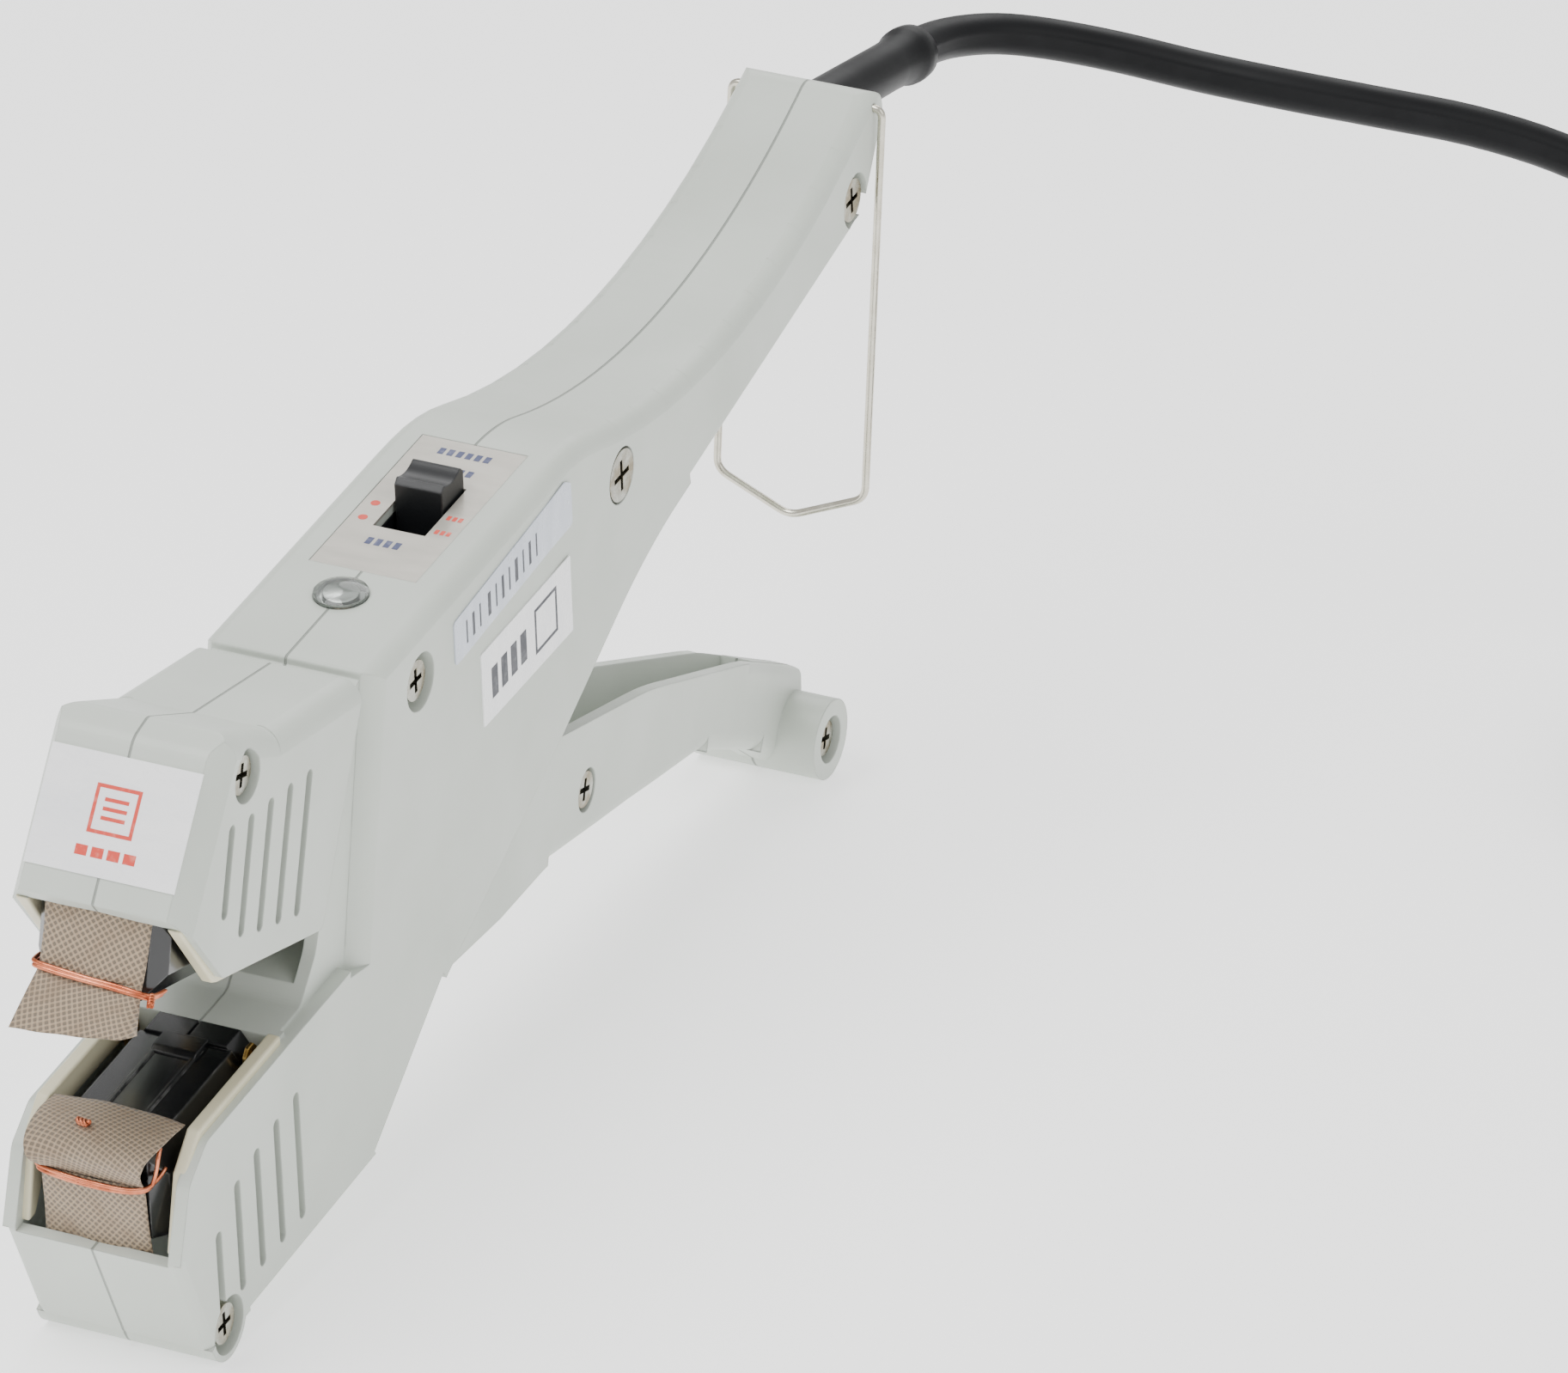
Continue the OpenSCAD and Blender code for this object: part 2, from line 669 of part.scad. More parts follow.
// Narrow strap round the bundle of turns
module coil_tie() {
    tie_w = 9;
    out = 2 * cord_d + 1.6;
    color([0.3, 0.3, 0.31]) translate([coil_c[0], coil_c[1], 0]) rotate([0, 0, 320]) translate([coil_r, 0, 0])
        difference() {
            translate([-out / 2, -tie_w / 2, 0]) cube([out, tie_w, coil_h + 0.8]);
            translate([-out / 2 + 0.8, -tie_w, 0.8]) cube([out - 1.6, 2 * tie_w, coil_h - 0.8]);
        }
}

// Front face of the moulded plug, with its axis along Y
plug_at = [257.5, 109, 13.5];
plug_d = 27;

module plug_body() {
    body_l = 26;
    relief_l = 28;
    color([0.09, 0.09, 0.1]) translate(plug_at) rotate([-90, 0, 0]) {
        cylinder(d = plug_d, h = 3);
        translate([0, 0, 3]) cylinder(d1 = plug_d, d2 = 20, h = body_l - 3);
        translate([0, 0, body_l]) cylinder(d1 = 13, d2 = 10, h = relief_l);
    }
}

// Two flat blades and a round earth pin
module plug_blades() {
    color("silver") translate(plug_at) {
        for (x = [-6.35, 6.35]) translate([x - 0.75, -17, -0.2]) cube([1.5, 18, 6.4]);
        translate([0, 1, -8.7]) rotate([90, 0, 0]) cylinder(d = 4.8, h = 21);
    }
}

clamp_x = 7.5;
clamp_y = 286;
clamp_z = 88;

module cord_clamp() {
    color([0.15, 0.15, 0.16]) stand() difference() {
        translate([-10, clamp_y - 4, clamp_z - 4]) cube([20, 8, 3]);
        both_sides() translate([clamp_x, clamp_y, clamp_z - 10]) cylinder(d = 3.1, h = 20);
    }
}

module clamp_screws() {
    color("silver") stand() both_sides() translate([clamp_x, clamp_y, clamp_z - 7]) {
        translate([0, 0, 6]) cylinder(d = 5, h = 1.8);
        cylinder(d = 3, h = 6.1);
    }
}

// ---- arm: hood over the upper bar, web through the neck, and the lever ----

web_x0 = neck_inner - 3.1;
web_x1 = neck_inner - 0.4;
hood_pts = [
    [0.8, 68.3, 0.6], [3.4, 66.4, 0.6], [19.8, 53.9, 1.5], [61.3, 53.2, 1.5], [69.4, 96.6, 3], [68.4, 99, 2],
    [36, 96.3, 0], [17, 99.8, 3], [11.8, 97, 4]
];
hood_top = [[68.4, 99], [36, 96.3], [17, 99.8]];
front_foot = [0.8, 68.3];
front_lean = atan2(11.8 - front_foot[0], 97 - front_foot[1]);

// Frame of the sloping front face, with Z up along it
module on_front(x) {
    translate([x, front_foot[0], front_foot[1]]) rotate([-front_lean, 0, 0]) children();
}

module hood_outer() {
    rear_run = unit(hood_top[0] - hood_top[1]);
    brow_run = unit(hood_top[2] - hood_top[1]);
    difference() {
        slab(0, half_w) polygon(rounded(hood_pts));
        edge_cut(hood_top[0] + rear_run * 4, hood_top[1] - rear_run * 0.8, half_w, 5.5);
        edge_cut(hood_top[1] - brow_run * 0.8, hood_top[2] + brow_run * 7, half_w, 5.5);
        // Bevel between the front face and the side
        on_front(half_w - 3.2) rotate([0, 0, 60]) translate([-2, -14, -30]) cube([30, 14, 70]);
    }
}

module hood_half() {
    difference() {
        hood_outer();
        slab(-1, inner_w) polygon([
            [4.6, 71], [3.6, 66], [20, 40], [90, 40], [90, 96.3], [36, 93.6], [18, 96.6], [13.6, 94.4]
        ]);
        vents(18, 7.8, [66.5, 61.5, 60.6, 60.2, 59.8], [81.8, 82.2, 83.4, 84.4, 85.2], 2.4);
    }
    // Inner lip along the rim
    slab(inner_w - 1.4, inner_w + 0.3)
        polygon([[3.2, 66.2], [19.4, 53], [21, 52.7], [45.5, 52.4], [45.5, 55], [21, 56], [7.2, 67.4]]);
}

lever_w = inner_w - 0.4;
lever_taper = 3.5;
lever_y = 150;
lever_pts = [
    [124.4, 28.4, 6], [174, 38.2, 60], [219.3, 41, 90], [262, 40, 20], [296, 32, 8], [313, 24.5, 8],
    [325, 31, 8], [320, 44.5, 9], [283.5, 53.8, 120], [224, 62, 160], [171, 64, 20], [119, 50, 6]
];

// Channel with an open top: a floor and one side wall, a solid nose and the boss
module lever_half() {
    trough = [
        [127.5, 50], [128, 33.2], [174, 41.6], [219.3, 44], [262, 43], [292, 37.5], [294, 80], [100, 80]
    ];
    difference() {
        slab(0, lever_w) polygon(rounded(lever_pts));
        difference() {
            slab(-1, lever_w - wall) polygon(trough);
            taper_in(lever_w, lever_y, lever_taper) beyond(lever_w - wall);
        }
        taper_in(lever_w, lever_y, lever_taper) {
            beyond(lever_w);
            edge_cut([296, 32], [313, 24.5], lever_w, 4, 0);
            edge_cut([262, 40], [296, 32], lever_w, 4, 0);
            edge_cut([174, 38.2], [262, 40.6], lever_w, 3, 0);
            edge_cut([320, 44.5], [283.5, 53.8], lever_w, 3, 0);
            edge_cut([325, 31], [320, 44.5], lever_w, 4, 0);
        }
    }
    rod(boss, 2 * boss_r, 0, 14);
}

module web() {
    slab(web_x0, web_x1) {
        polygon([
            [28, 86], [28, 94.3], [36, 94.3], [52, 93], [70, 91.8], [84, 96.2], [90, 99.8], [100, 86],
            [90, 80], [66, 84]
        ]);
        polygon([[86, 88], [102, 97.5], [150, 76], [171, 64], [171, 41.2], [128, 33], [119, 50]]);
        translate(pivot) circle(r = 8);
    }
    // Rib that joins the web to the side of the lever
    slab(web_x0, lever_w - 0.5) polygon([[119, 50], [125.5, 30], [130, 34], [128, 52]]);
    // Crossbar for the leg of the return spring
    rod([109, 66], 5, 0, web_x0 + 0.5);
}

module arm_half(screw_side) {
    difference() {
        union() {
            hood_half();
            web();
            lever_half();
            rod(hood_screw, 12.6, 0, inner_w + 0.5);
            rod(lever_screw, 11.6, 0, 10.8);
        }
        rod(pivot, sleeve_d + 0.1, -1, 30);
        rod(hood_screw, screw_side ? clear_d : shank_d, -1, screw_side ? 30 : half_w - 3);
        rod(lever_screw, screw_side ? clear_d : shank_d, -1, screw_side ? 30 : 9.6);
        rod(boss, screw_side ? clear_d : shank_d, -1, screw_side ? 30 : 11);
        if (screw_side) {
            rod(hood_screw, 10, half_w - recess_depth, 30);
            rod(lever_screw, 9, 10.2, 30);
            rod(boss, 10, 10.8, 30);
        }
    }
}

module arm_right() {
    color(shell_color) stand_arm() arm_half(true);
}

module arm_left() {
    color(shell_color) stand_arm() mirror([1, 0, 0]) arm_half(false);
}

module arm_screws() {
    color("silver") stand_arm() {
        screw(hood_screw, half_w - recess_depth, 7.4, 2, 28);
        screw(lever_screw, 10.2, 7.4, 1.8, 19);
        screw(boss, 10.8, 7.4, 2, 20);
    }
}

upper_y0 = 4.6;
upper_y1 = 38;
upper_seal_z = seal_z + 0.7;

module upside_down(z) {
    translate([0, 0, z]) mirror([0, 0, 1]) children();
}

module upper_bar() {
    color([0.07, 0.07, 0.08]) stand_arm() upside_down(upper_seal_z) bar(upper_y0, upper_y1, bar_depth);
}

module upper_heater() {
    color("gainsboro") stand_arm() upside_down(upper_seal_z) heater_rod(upper_y0 + 4, upper_y1 - upper_y0);
}

module upper_insulator() {
    color([0.09, 0.09, 0.1]) stand_arm() upside_down(upper_seal_z + 1) insulator(upper_y1 + 0.05, 45, 22);
}

module upper_terminals() {
    color("gold") stand_arm() upside_down(0) terminals(41.5, -upper_seal_z - 7);
}

module upper_cloth() {
    color([0.68, 0.58, 0.47]) stand_arm() slab(-cloth_w / 2, cloth_w / 2)
        polygon([[3.2, 66.2], [4.3, 66.2], [4.3, 54], [-1, 44.6], cloth_tip, [3.2, 54.6]]);
}

module upper_tie() {
    color([0.78, 0.45, 0.32]) stand_arm() translate([0, 2.5, 54.8]) tie(cloth_w + 1.6);
}

module front_label() {
    color([0.97, 0.97, 0.97]) stand_arm() on_front(-15) translate([0, -label_t, 5]) cube([30, label_t, 22]);
}

body_left();
body_right();
body_screws();
pivot_sleeve();
pivot_screw();
return_spring();
lower_bar();
lower_heater();
lower_insulator();
lower_terminals();
lower_cloth();
lower_tie();
switch_plate();
switch_body();
switch_knob();
lamp_lens();
lamp_bulb();
control_board();
side_label();
rating_label();
latch_wire();
cord_guard();
cord_clamp();
clamp_screws();
arm_left();
arm_right();
arm_screws();
upper_bar();
upper_heater();
upper_insulator();
upper_terminals();
upper_cloth();
upper_tie();
front_label();
cord();
cord_coil();
coil_tie();
plug_body();
plug_blades();
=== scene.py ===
"""Looks of the hand-held, plier-type heat sealer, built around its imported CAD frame."""

import math

import bpy
from mathutils import Matrix, Vector


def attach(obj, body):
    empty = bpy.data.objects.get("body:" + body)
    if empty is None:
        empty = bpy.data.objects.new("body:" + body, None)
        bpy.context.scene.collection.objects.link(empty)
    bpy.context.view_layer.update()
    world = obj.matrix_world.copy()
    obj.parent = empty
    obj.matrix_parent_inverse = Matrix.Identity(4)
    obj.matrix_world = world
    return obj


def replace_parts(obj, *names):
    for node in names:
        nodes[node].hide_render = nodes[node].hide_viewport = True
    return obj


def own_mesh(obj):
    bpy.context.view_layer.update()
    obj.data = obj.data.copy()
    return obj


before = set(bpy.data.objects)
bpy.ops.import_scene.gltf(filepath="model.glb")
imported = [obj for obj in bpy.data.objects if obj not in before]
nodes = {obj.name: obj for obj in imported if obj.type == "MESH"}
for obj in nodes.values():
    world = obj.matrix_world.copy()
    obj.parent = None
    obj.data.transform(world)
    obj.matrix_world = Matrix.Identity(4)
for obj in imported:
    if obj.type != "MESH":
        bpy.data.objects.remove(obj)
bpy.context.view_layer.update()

# ---- frames: shapes are drawn in millimetres, and these place them in the world in metres ----

MM = 0.001
LEAN = math.radians(8.27171)  # of the tool, standing on its lower jaw and its lever
OPEN = math.radians(18)  # of the jaws at rest
PIVOT = Matrix.Translation((0, 94.8, 93))

WORLD = Matrix.Scale(MM, 4)
TOOL = WORLD @ Matrix.Translation((0, -163.08, -0.718451)) @ Matrix.Rotation(LEAN, 4, "X")
ARM = TOOL @ PIVOT @ Matrix.Rotation(-OPEN, 4, "X") @ PIVOT.inverted()
# Stands a flat outline, drawn as (Y, Z), on edge: its height then runs along X
SIDE = Matrix(((0, 0, 1, 0), (1, 0, 0, 0), (0, 1, 0, 0), (0, 0, 0, 1)))
UP = Vector((0, 0, 1))


# ---- camera and light ----

LENS, SENSOR, CLIP_END = 252.5, 36, 50
# azimuth, elevation, distance, target, roll: degrees and metres
CAMERA_AT = (23.07, 24.5, 2.0, (0.0876, -0.0755, 0.1161), 2.077)
LIGHT_TARGET = (0.02, 0, 0.06)
# azimuth, elevation, distance, diameter, power
LIGHTS = {
    "key": (-35, 62, 1.6, 1.3, 24),
    "fill": (75, 35, 1.8, 1.5, 9),
    "rim": (190, 40, 1.8, 1.2, 10),
}
SKY = 0.78


def place_in_scene(obj):
    bpy.context.scene.collection.objects.link(obj)
    return obj


def aim(obj, azimuth, elevation, distance, target, roll=0.0):
    """Places obj at a distance from target, looking at it. Azimuth 0 looks along +Y."""
    turn = (Matrix.Rotation(math.radians(azimuth), 4, "Z")
            @ Matrix.Rotation(math.pi / 2 - math.radians(elevation), 4, "X"))
    place = turn @ Matrix.Rotation(math.radians(roll), 4, "Z")
    place.translation = Vector(target) + turn.to_3x3() @ Vector((0, 0, distance))
    obj.matrix_world = place


def add_camera():
    data = bpy.data.cameras.new("camera")
    data.lens = LENS
    data.sensor_width = SENSOR
    data.clip_end = CLIP_END
    camera = place_in_scene(bpy.data.objects.new("camera", data))
    aim(camera, *CAMERA_AT)
    bpy.context.scene.camera = camera


def add_light(name, azimuth, elevation, distance, diameter, power):
    data = bpy.data.lights.new(name, "AREA")
    data.shape = "DISK"
    data.size = diameter
    data.energy = power
    light = place_in_scene(bpy.data.objects.new(name, data))
    aim(light, azimuth, elevation, distance, LIGHT_TARGET)


add_camera()
for name, values in LIGHTS.items():
    add_light(name, *values)
world = bpy.data.worlds.new("studio")
world.use_nodes = True
sky = world.node_tree.nodes["Background"]
sky.inputs["Color"].default_value = (1, 1, 1, 1)
sky.inputs["Strength"].default_value = SKY
bpy.context.scene.world = world


# ---- materials: lengths in them are metres ----

def srgb(*values):
    """The linear colour of red, green and blue from 0 to 255."""
    return tuple(((v / 255 + 0.055) / 1.055) ** 2.4 if v > 10 else v / 255 / 12.92 for v in values) + (1,)


class Nodes:
    """A material's node tree, with short calls to add and link nodes."""

    def __init__(self, name, **fixed):
        self.material = bpy.data.materials.new(name)
        self.material.use_nodes = True
        self.tree = self.material.node_tree
        self.shader = self.tree.nodes["Principled BSDF"]
        for key, value in fixed.items():
            self.set(key.replace("_", " "), value)

    def put(self, slot, value):
        """Links another node's output to an input slot, or sets a constant on it."""
        if isinstance(value, bpy.types.NodeSocket):
            self.tree.links.new(value, slot)
        else:
            slot.default_value = value

    def set(self, key, value):
        self.put(self.shader.inputs[key], value)

    def add(self, kind, props=None, **inputs):
        """A new node. An input's key is its name, or i with its number."""
        made = self.tree.nodes.new("ShaderNode" + kind)
        for key, value in (props or {}).items():
            setattr(made, key, value)
        for key, value in inputs.items():
            numbered = key[0] == "i" and key[1:].isdigit()
            self.put(made.inputs[int(key[1:]) if numbered else key], value)
        return made

    def math(self, how, a, b=0.0, clamp=False):
        return self.add("Math", {"operation": how, "use_clamp": clamp}, i0=a, i1=b).outputs[0]

    def place(self, turn=0.0, stretch=(1, 1, 1)):
        """Object coordinates, turned about X to lie along the tool."""
        at = self.add("TexCoord").outputs["Object"]
        return self.add("Mapping", Vector=at, Rotation=(-turn, 0, 0), Scale=stretch).outputs["Vector"]

    def noise(self, at, scale, detail=3.0, rough=0.5):
        return self.add("TexNoise", Vector=at, Scale=scale, Detail=detail, Roughness=rough).outputs["Fac"]

    def span(self, value, low, high, out_low=0.0, out_high=1.0):
        """Maps low..high to out_low..out_high."""
        return self.add("MapRange", i0=value, i1=low, i2=high, i3=out_low, i4=out_high).outputs[0]

    def mix(self, share, a, b):
        """A colour between a and b. Inputs 0, 6 and 7 are the colour mix's share, A and B."""
        return self.add("Mix", {"data_type": "RGBA"}, i0=share, i6=a, i7=b).outputs[2]

    def bump(self, height, strength, distance, base=None):
        made = self.add("Bump", Strength=strength, Distance=distance, Height=height)
        if base is not None:
            self.tree.links.new(base, made.inputs["Normal"])
        return made.outputs["Normal"]

    def soft_edges(self, radius):
        """(rounded normal, how much of an edge this is)"""
        rounded = self.add("Bevel", {"samples": 4}, Radius=radius).outputs["Normal"]
        face = self.add("NewGeometry").outputs["True Normal"]
        alike = self.add("VectorMath", {"operation": "DOT_PRODUCT"}, i0=rounded, i1=face).outputs["Value"]
        return rounded, self.span(alike, 0.995, 0.9)

    def roughness(self, at, scale, low, high, detail=3.0, fade=(0.3, 0.7)):
        """Uneven roughness between low and high."""
        self.set("Roughness", self.span(self.noise(at, scale, detail), *fade, low, high))


def moulded(name, base, dark, highlight_color, rough, turn=LEAN, grain=0.1, edge=0.0005, seam=None, **fixed):
    """Moulded plastic: faint cloudy colour, fine grain and softened edges, lightened in patches by a
    painted highlight. seam is the colour of the line where two halves of a shell meet, at X = 0."""
    n = Nodes(name, **fixed)
    at = n.place(turn)
    color = n.mix(n.span(n.noise(at, scale=26, detail=4), 0.35, 0.65), base, dark)
    normal, edges = n.soft_edges(edge)
    # Painted highlight: lightens the edges in noisy patches, standing in for light catching the rounded
    # edges
    edge_highlight = n.math("MULTIPLY", edges, n.span(n.noise(at, scale=190), 0.42, 0.62), clamp=True)
    color = n.mix(n.math("MULTIPLY", edge_highlight, 0.5), color, highlight_color)
    if seam:
        off_centre = n.math("ABSOLUTE", n.add("SeparateXYZ", Vector=at).outputs["X"])
        line = n.span(off_centre, 0.0001, 0.0003, 1.0, 0.0)
        color = n.mix(n.math("MULTIPLY", line, 0.62), color, dark)
        color = n.mix(n.math("MULTIPLY", line, 0.45), color, seam)
        normal = n.bump(n.math("SUBTRACT", 1.0, line), strength=0.8, distance=0.0003, base=normal)
    n.set("Base Color", color)
    n.roughness(at, 60, rough - 0.05, rough + 0.07)
    n.set("Normal", n.bump(n.noise(at, scale=2600, detail=2), grain, distance=0.00012, base=normal))
    return n.material


def metal(name, base, dark, rough, scale=700, strength=0.12):
    """Bare metal with fine drawn or turned marks and dull patches."""
    n = Nodes(name, Metallic=1.0)
    at = n.place(LEAN)
    marks = n.noise(at, scale, detail=4, rough=0.65)
    normal, _ = n.soft_edges(0.00015)
    n.set("Base Color", n.mix(n.span(n.noise(at, scale=240, detail=4), 0.4, 0.66), base, dark))
    n.set("Roughness", n.span(marks, 0.3, 0.7, rough - 0.08, rough + 0.14))
    n.set("Normal", n.bump(marks, strength, distance=0.0001, base=normal))
    return n.material


def woven(name, light, dark, stain, pitch, angle):
    """Coated glass cloth: crossing threads with dark holes between them, laid out by the piece's own
    UVs, which are in metres."""
    n = Nodes(name, Sheen_Weight=0.15)
    uv = n.add("TexCoord").outputs["UV"]
    waves = []
    for turn in (angle, angle + math.pi / 2):
        turned_uv = n.add("Mapping", Vector=uv, Rotation=(0, 0, turn)).outputs["Vector"]
        across = n.add("SeparateXYZ", Vector=turned_uv).outputs["X"]
        waves.append(n.math("SINE", n.math("MULTIPLY", across, 2 * math.pi / pitch)))
    threads = n.span(n.math("MAXIMUM", *waves), -0.4, 0.85)
    crossings = n.span(n.math("MULTIPLY", *waves), -0.7, 0.7)
    patch = n.noise(uv, scale=160, detail=4)
    color = n.mix(threads, dark, light)
    color = n.mix(n.math("MULTIPLY", crossings, 0.26), color, CROSSING)
    color = n.mix(n.span(patch, 0.5, 0.78, 0.0, 0.6), color, stain)
    n.set("Base Color", color)
    n.set("Roughness", n.span(patch, 0.3, 0.7, 0.42, 0.62))
    height = n.math("ADD", threads, n.math("MULTIPLY", crossings, 0.5))
    n.set("Normal", n.bump(height, strength=0.75, distance=0.00022))
    return n.material


def label(name, base, cloudy, rough, metallic=0.0):
    """Paper or foil under a thin clear coat, streaked along the tool."""
    n = Nodes(name, Metallic=metallic, Coat_Weight=0.25)
    streaks = n.place(LEAN, stretch=(1, 4, 1))
    n.set("Base Color", n.mix(n.span(n.noise(streaks, scale=60, detail=5), 0.35, 0.7), base, cloudy))
    n.roughness(streaks, 300, rough - 0.05, rough + 0.08)
    n.set("Normal", n.bump(n.noise(n.place(LEAN), scale=120, detail=2), strength=0.08, distance=0.0004))
    return n.material


def printed(name, base, faded):
    """Ink, faded in small patches."""
    n = Nodes(name)
    at = n.place(LEAN)
    n.set("Base Color", n.mix(n.span(n.noise(at, scale=700, detail=4), 0.5, 0.75), base, faded))
    n.roughness(at, 200, 0.4, 0.55, detail=2)
    return n.material


def clear(name, base, rough):
    """Clear plastic, slightly wavy."""
    n = Nodes(name, Transmission_Weight=0.92, IOR=1.49)
    at = n.place(LEAN)
    n.set("Base Color", n.mix(n.noise(at, scale=200), base, CLOUDY_CLEAR))
    n.roughness(at, 500, rough, rough + 0.08, fade=(0.35, 0.7))
    n.set("Normal", n.bump(n.noise(at, scale=420, detail=2), strength=0.1, distance=0.0003))
    return n.material


# Each moulded look: base colour, cloudy darker tone, painted edge highlight colour, roughness
SHELL = (srgb(197, 203, 194), srgb(189, 195, 186), srgb(214, 218, 209), 0.42)
CREAM = (srgb(222, 216, 186), srgb(210, 203, 172), srgb(234, 229, 206), 0.4)
SEAM = srgb(120, 126, 118)
CROSSING = srgb(196, 178, 152)
CLOUDY_CLEAR = srgb(205, 212, 206)
ARM_TURN = LEAN - OPEN

shell = moulded("shell", *SHELL, seam=SEAM)
shell_arm = moulded("shell_arm", *SHELL, turn=ARM_TURN, seam=SEAM)
cream = moulded("cream_lip", *CREAM)
cream_arm = moulded("cream_lip_arm", *CREAM, turn=ARM_TURN)
zinc = metal("zinc", srgb(168, 168, 158), srgb(128, 118, 94), 0.26)
steel = metal("heater_steel", srgb(190, 190, 192), srgb(150, 145, 140), 0.35)
brass = metal("brass", srgb(214, 184, 112), srgb(150, 118, 60), 0.25, strength=0.3)
copper = metal("copper", srgb(226, 140, 104), srgb(178, 92, 62), 0.28, scale=1500, strength=0.2)
nickel = metal("nickel_wire", srgb(206, 202, 188), srgb(196, 191, 175), 0.22, scale=500, strength=0.04)
blade = metal("plug_brass", srgb(206, 200, 176), srgb(180, 170, 140), 0.28)
# The third colour of each of these moulded looks is its painted edge highlight
black = moulded("black_plastic", srgb(26, 27, 29), srgb(20, 21, 23), srgb(70, 72, 74), 0.34, edge=0.0006)
phenolic = moulded("insulator", srgb(19, 20, 22), srgb(13, 14, 16), srgb(70, 70, 70), 0.22, edge=0.0004)
bar_black = moulded("heater_bar", srgb(17, 18, 20), srgb(11, 12, 14), srgb(150, 150, 148), 0.18,
                    grain=0.05, Coat_Weight=0.4, Coat_Roughness=0.15)
rubber = moulded("cord_rubber", srgb(13, 14, 16), srgb(9, 10, 12), srgb(26, 26, 28), 0.46, edge=0.0003,
                 Specular_IOR_Level=0.2)
board = moulded("board", srgb(46, 92, 52), srgb(36, 76, 42), srgb(80, 120, 80), 0.4)
strap = moulded("strap", srgb(58, 58, 60), srgb(44, 44, 46), srgb(90, 90, 92), 0.8, grain=0.5)
cloth = woven("release_cloth", srgb(163, 141, 115), srgb(44, 33, 24), srgb(120, 96, 72),
              pitch=0.00105, angle=math.radians(38))
cloth_fine = woven("flap_cloth", srgb(158, 137, 112), srgb(50, 38, 28), srgb(124, 100, 76),
                   pitch=0.0009, angle=math.radians(22))
white_label = label("white_label", srgb(250, 250, 250), srgb(241, 242, 244), 0.28)
foil = label("foil_label", srgb(206, 212, 222), srgb(192, 199, 210), 0.3, metallic=0.25)
plate = label("switch_plate", srgb(186, 182, 172), srgb(174, 170, 160), 0.34, metallic=0.3)
ink_red = printed("ink_red", srgb(214, 70, 56), srgb(226, 120, 104))
ink_dark = printed("ink_dark", srgb(52, 54, 62), srgb(90, 92, 98))
ink_blue = printed("ink_blue", srgb(70, 76, 110), srgb(110, 114, 140))
lens = clear("lens", srgb(232, 238, 234), 0.06)
bulb = clear("bulb", srgb(240, 150, 90), 0.1)

NODE_LOOKS = {
    shell: ["body_left", "body_right"],
    shell_arm: ["arm_left", "arm_right"],
    zinc: ["body_screws", "pivot_screw", "arm_screws", "clamp_screws", "return_spring"],
    steel: ["pivot_sleeve", "lower_heater", "upper_heater"],
    bar_black: ["lower_bar", "upper_bar"],
    phenolic: ["lower_insulator", "upper_insulator"],
    brass: ["lower_terminals", "upper_terminals"],
    plate: ["switch_plate"],
    black: ["switch_body", "switch_knob", "cord_clamp"],
    lens: ["lamp_lens"],
    bulb: ["lamp_bulb"],
    board: ["control_board"],
    foil: ["side_label"],
    white_label: ["rating_label", "front_label"],
    blade: ["plug_blades"],
}
for look, names in NODE_LOOKS.items():
    for name in names:
        data = nodes[name].data
        data.materials.clear()
        data.materials.append(look)


# ---- mesh helpers ----

def add_mesh(name, place, points, faces, look, body, slot, smooth=True, uvs=None):
    """A mesh from millimetre points in the frame place, riding on a body."""
    data = bpy.data.meshes.new(name)
    data.from_pydata([place @ Vector(p) for p in points], [], faces)
    if uvs:
        layer = data.uv_layers.new(name="cloth")
        for loop in data.loops:
            layer.data[loop.index].uv = uvs[loop.vertex_index]
    data.materials.append(look)
    data.shade_smooth() if smooth else data.shade_flat()
    obj = place_in_scene(bpy.data.objects.new(name, data))
    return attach(obj, body)


def curve_through(points, steps):
    """Catmull-Rom curve through points."""
    pts = [Vector(p) for p in points]
    pts = [2 * pts[0] - pts[1], *pts, 2 * pts[-1] - pts[-2]]
    out = []
    for a, b, c, d in zip(pts, pts[1:], pts[2:], pts[3:]):
        for k in range(steps):
            t = k / steps
            out.append(0.5 * (2 * b + (c - a) * t + (2 * a - 5 * b + 4 * c - d) * t ** 2
                              + (3 * b - a - 3 * c + d) * t ** 3))
    return out + [pts[-2]]


def rings_along(line):
    """(point, side, up) at each point of a line, without twist."""
    out = []
    up = None
    for i, point in enumerate(line):
        ahead = (line[min(i + 1, len(line) - 1)] - line[max(i - 1, 0)]).normalized()
        if up is None:
            up = ahead.orthogonal() if abs(ahead.z) > 0.9 else UP
        up = (up - ahead * up.dot(ahead)).normalized()
        out.append((point, ahead.cross(up), up))
    return out


def sweep(lines, section):
    """Points and faces of closed tubes along lines. section(i, count) gives the outline's (side, up)
    pairs at point i of a line with count points."""
    points, faces = [], []
    for line in lines:
        first = len(points)
        size = 0
        for i, (p, side, up) in enumerate(rings_along(line)):
            ring = section(i, len(line))
            size = len(ring)
            points += [p + side * a + up * b for a, b in ring]
        for i in range(len(line) - 1):
            for k in range(size):
                a, b = first + i * size + k, first + i * size + (k + 1) % size
                faces.append((a, b, b + size, a + size))
        faces.append(tuple(range(first + size - 1, first - 1, -1)))
        last = first + (len(line) - 1) * size
        faces.append(tuple(range(last, last + size)))
    return points, faces


def circle(radius, sides=12):
    return [(radius * math.cos(2 * math.pi * k / sides), radius * math.sin(2 * math.pi * k / sides))
            for k in range(sides)]


